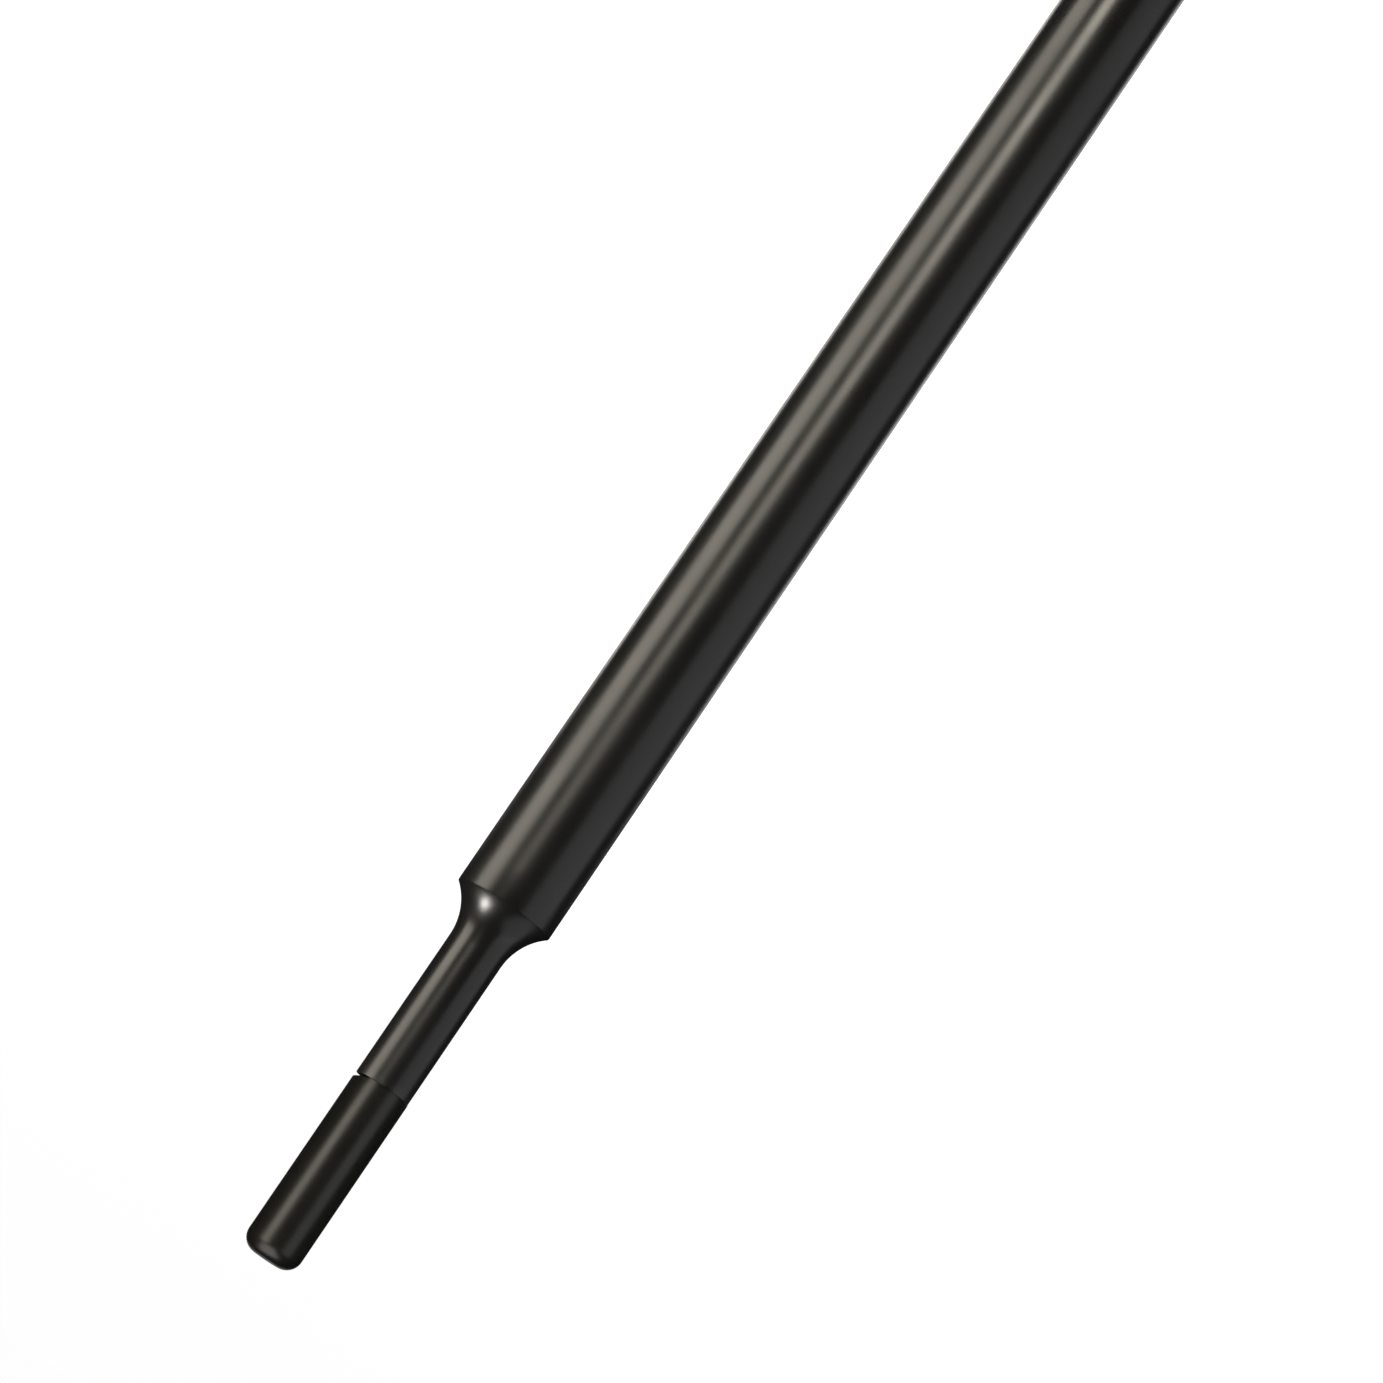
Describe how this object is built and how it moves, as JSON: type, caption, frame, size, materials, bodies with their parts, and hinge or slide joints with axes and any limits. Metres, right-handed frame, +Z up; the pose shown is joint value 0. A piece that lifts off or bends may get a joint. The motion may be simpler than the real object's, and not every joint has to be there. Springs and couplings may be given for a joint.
{
  "type": "fuel sampler cup",
  "caption": "Clear cup with a screw-on strainer head and a long black drain probe that slides through a gland and ends in a stepped, sleeved nose.",
  "frame": {"origin": "centre of the foot ring's underside, on the axis of the tube and the rod", "axes": "+Z up along the tube and the rod, towards the probe's tip; +X and +Y each point through a window between two spokes"},
  "size_m": [0.056, 0.056, 0.2343],
  "materials": {
    "clear_plastic": "clear acrylic tube, polished, with moulded-in graduation marks",
    "black_plastic": "turned black acetal, satin",
    "black_anodised": "turned bar, satin black anodised",
    "tip_plastic": "black nylon sleeve, duller than the bar",
    "natural_plastic": "natural acetal, satin",
    "rubber": "fuel-resistant rubber, matt",
    "steel": "stainless steel"
  },
  "bodies": {
    "cup": {"sample_tube": "clear_plastic", "base_cap": "black_plastic", "base_seal": "rubber", "foot_ring": "rubber", "neck_collar": "black_plastic"},
    "head": {"spider": "black_plastic", "rim_gasket": "rubber", "strainer_screen": "steel", "screen_clip": "steel", "gland_seal_lower": "rubber", "gland_seal_upper": "rubber"},
    "ring": {"screw_ring": "black_plastic"},
    "gripper": {"collet": "natural_plastic"},
    "nut": {"gland_nut": "black_plastic"},
    "probe": {"probe_rod": "black_anodised", "probe_tip": "tip_plastic", "stop_washer": "natural_plastic", "stop_clip": "steel", "rod_bumper": "rubber", "bumper_screw": "steel"}
  },
  "joints": [
    {"name": "head_lift", "type": "slide", "parent": "cup", "child": "head", "axis": [0, 0, 1], "range_m": [0, 0.00601]},
    {"name": "ring_turn", "type": "hinge", "parent": "head", "child": "ring", "pos_m": [0, 0, 0.105], "axis": [0, 0, 1], "range_deg": [0, 720]},
    {"name": "collet_lift", "type": "slide", "parent": "head", "child": "gripper", "axis": [0, 0, 1], "range_m": [0, 0.00151]},
    {"name": "gland_nut_turn", "type": "hinge", "parent": "gripper", "child": "nut", "pos_m": [0, 0, 0.124], "axis": [0, 0, 1], "range_deg": [0, 360]},
    {"name": "rod_slide", "type": "slide", "parent": "head", "child": "probe", "axis": [0, 0, 1], "range_m": [-0.075, 0]}
  ],
  "couplings": [
    {"joint": "head_lift", "follows": "ring_turn", "m_per_rad": 0.00047746},
    {"joint": "collet_lift", "follows": "gland_nut_turn", "m_per_rad": 0.00023873}
  ]
}
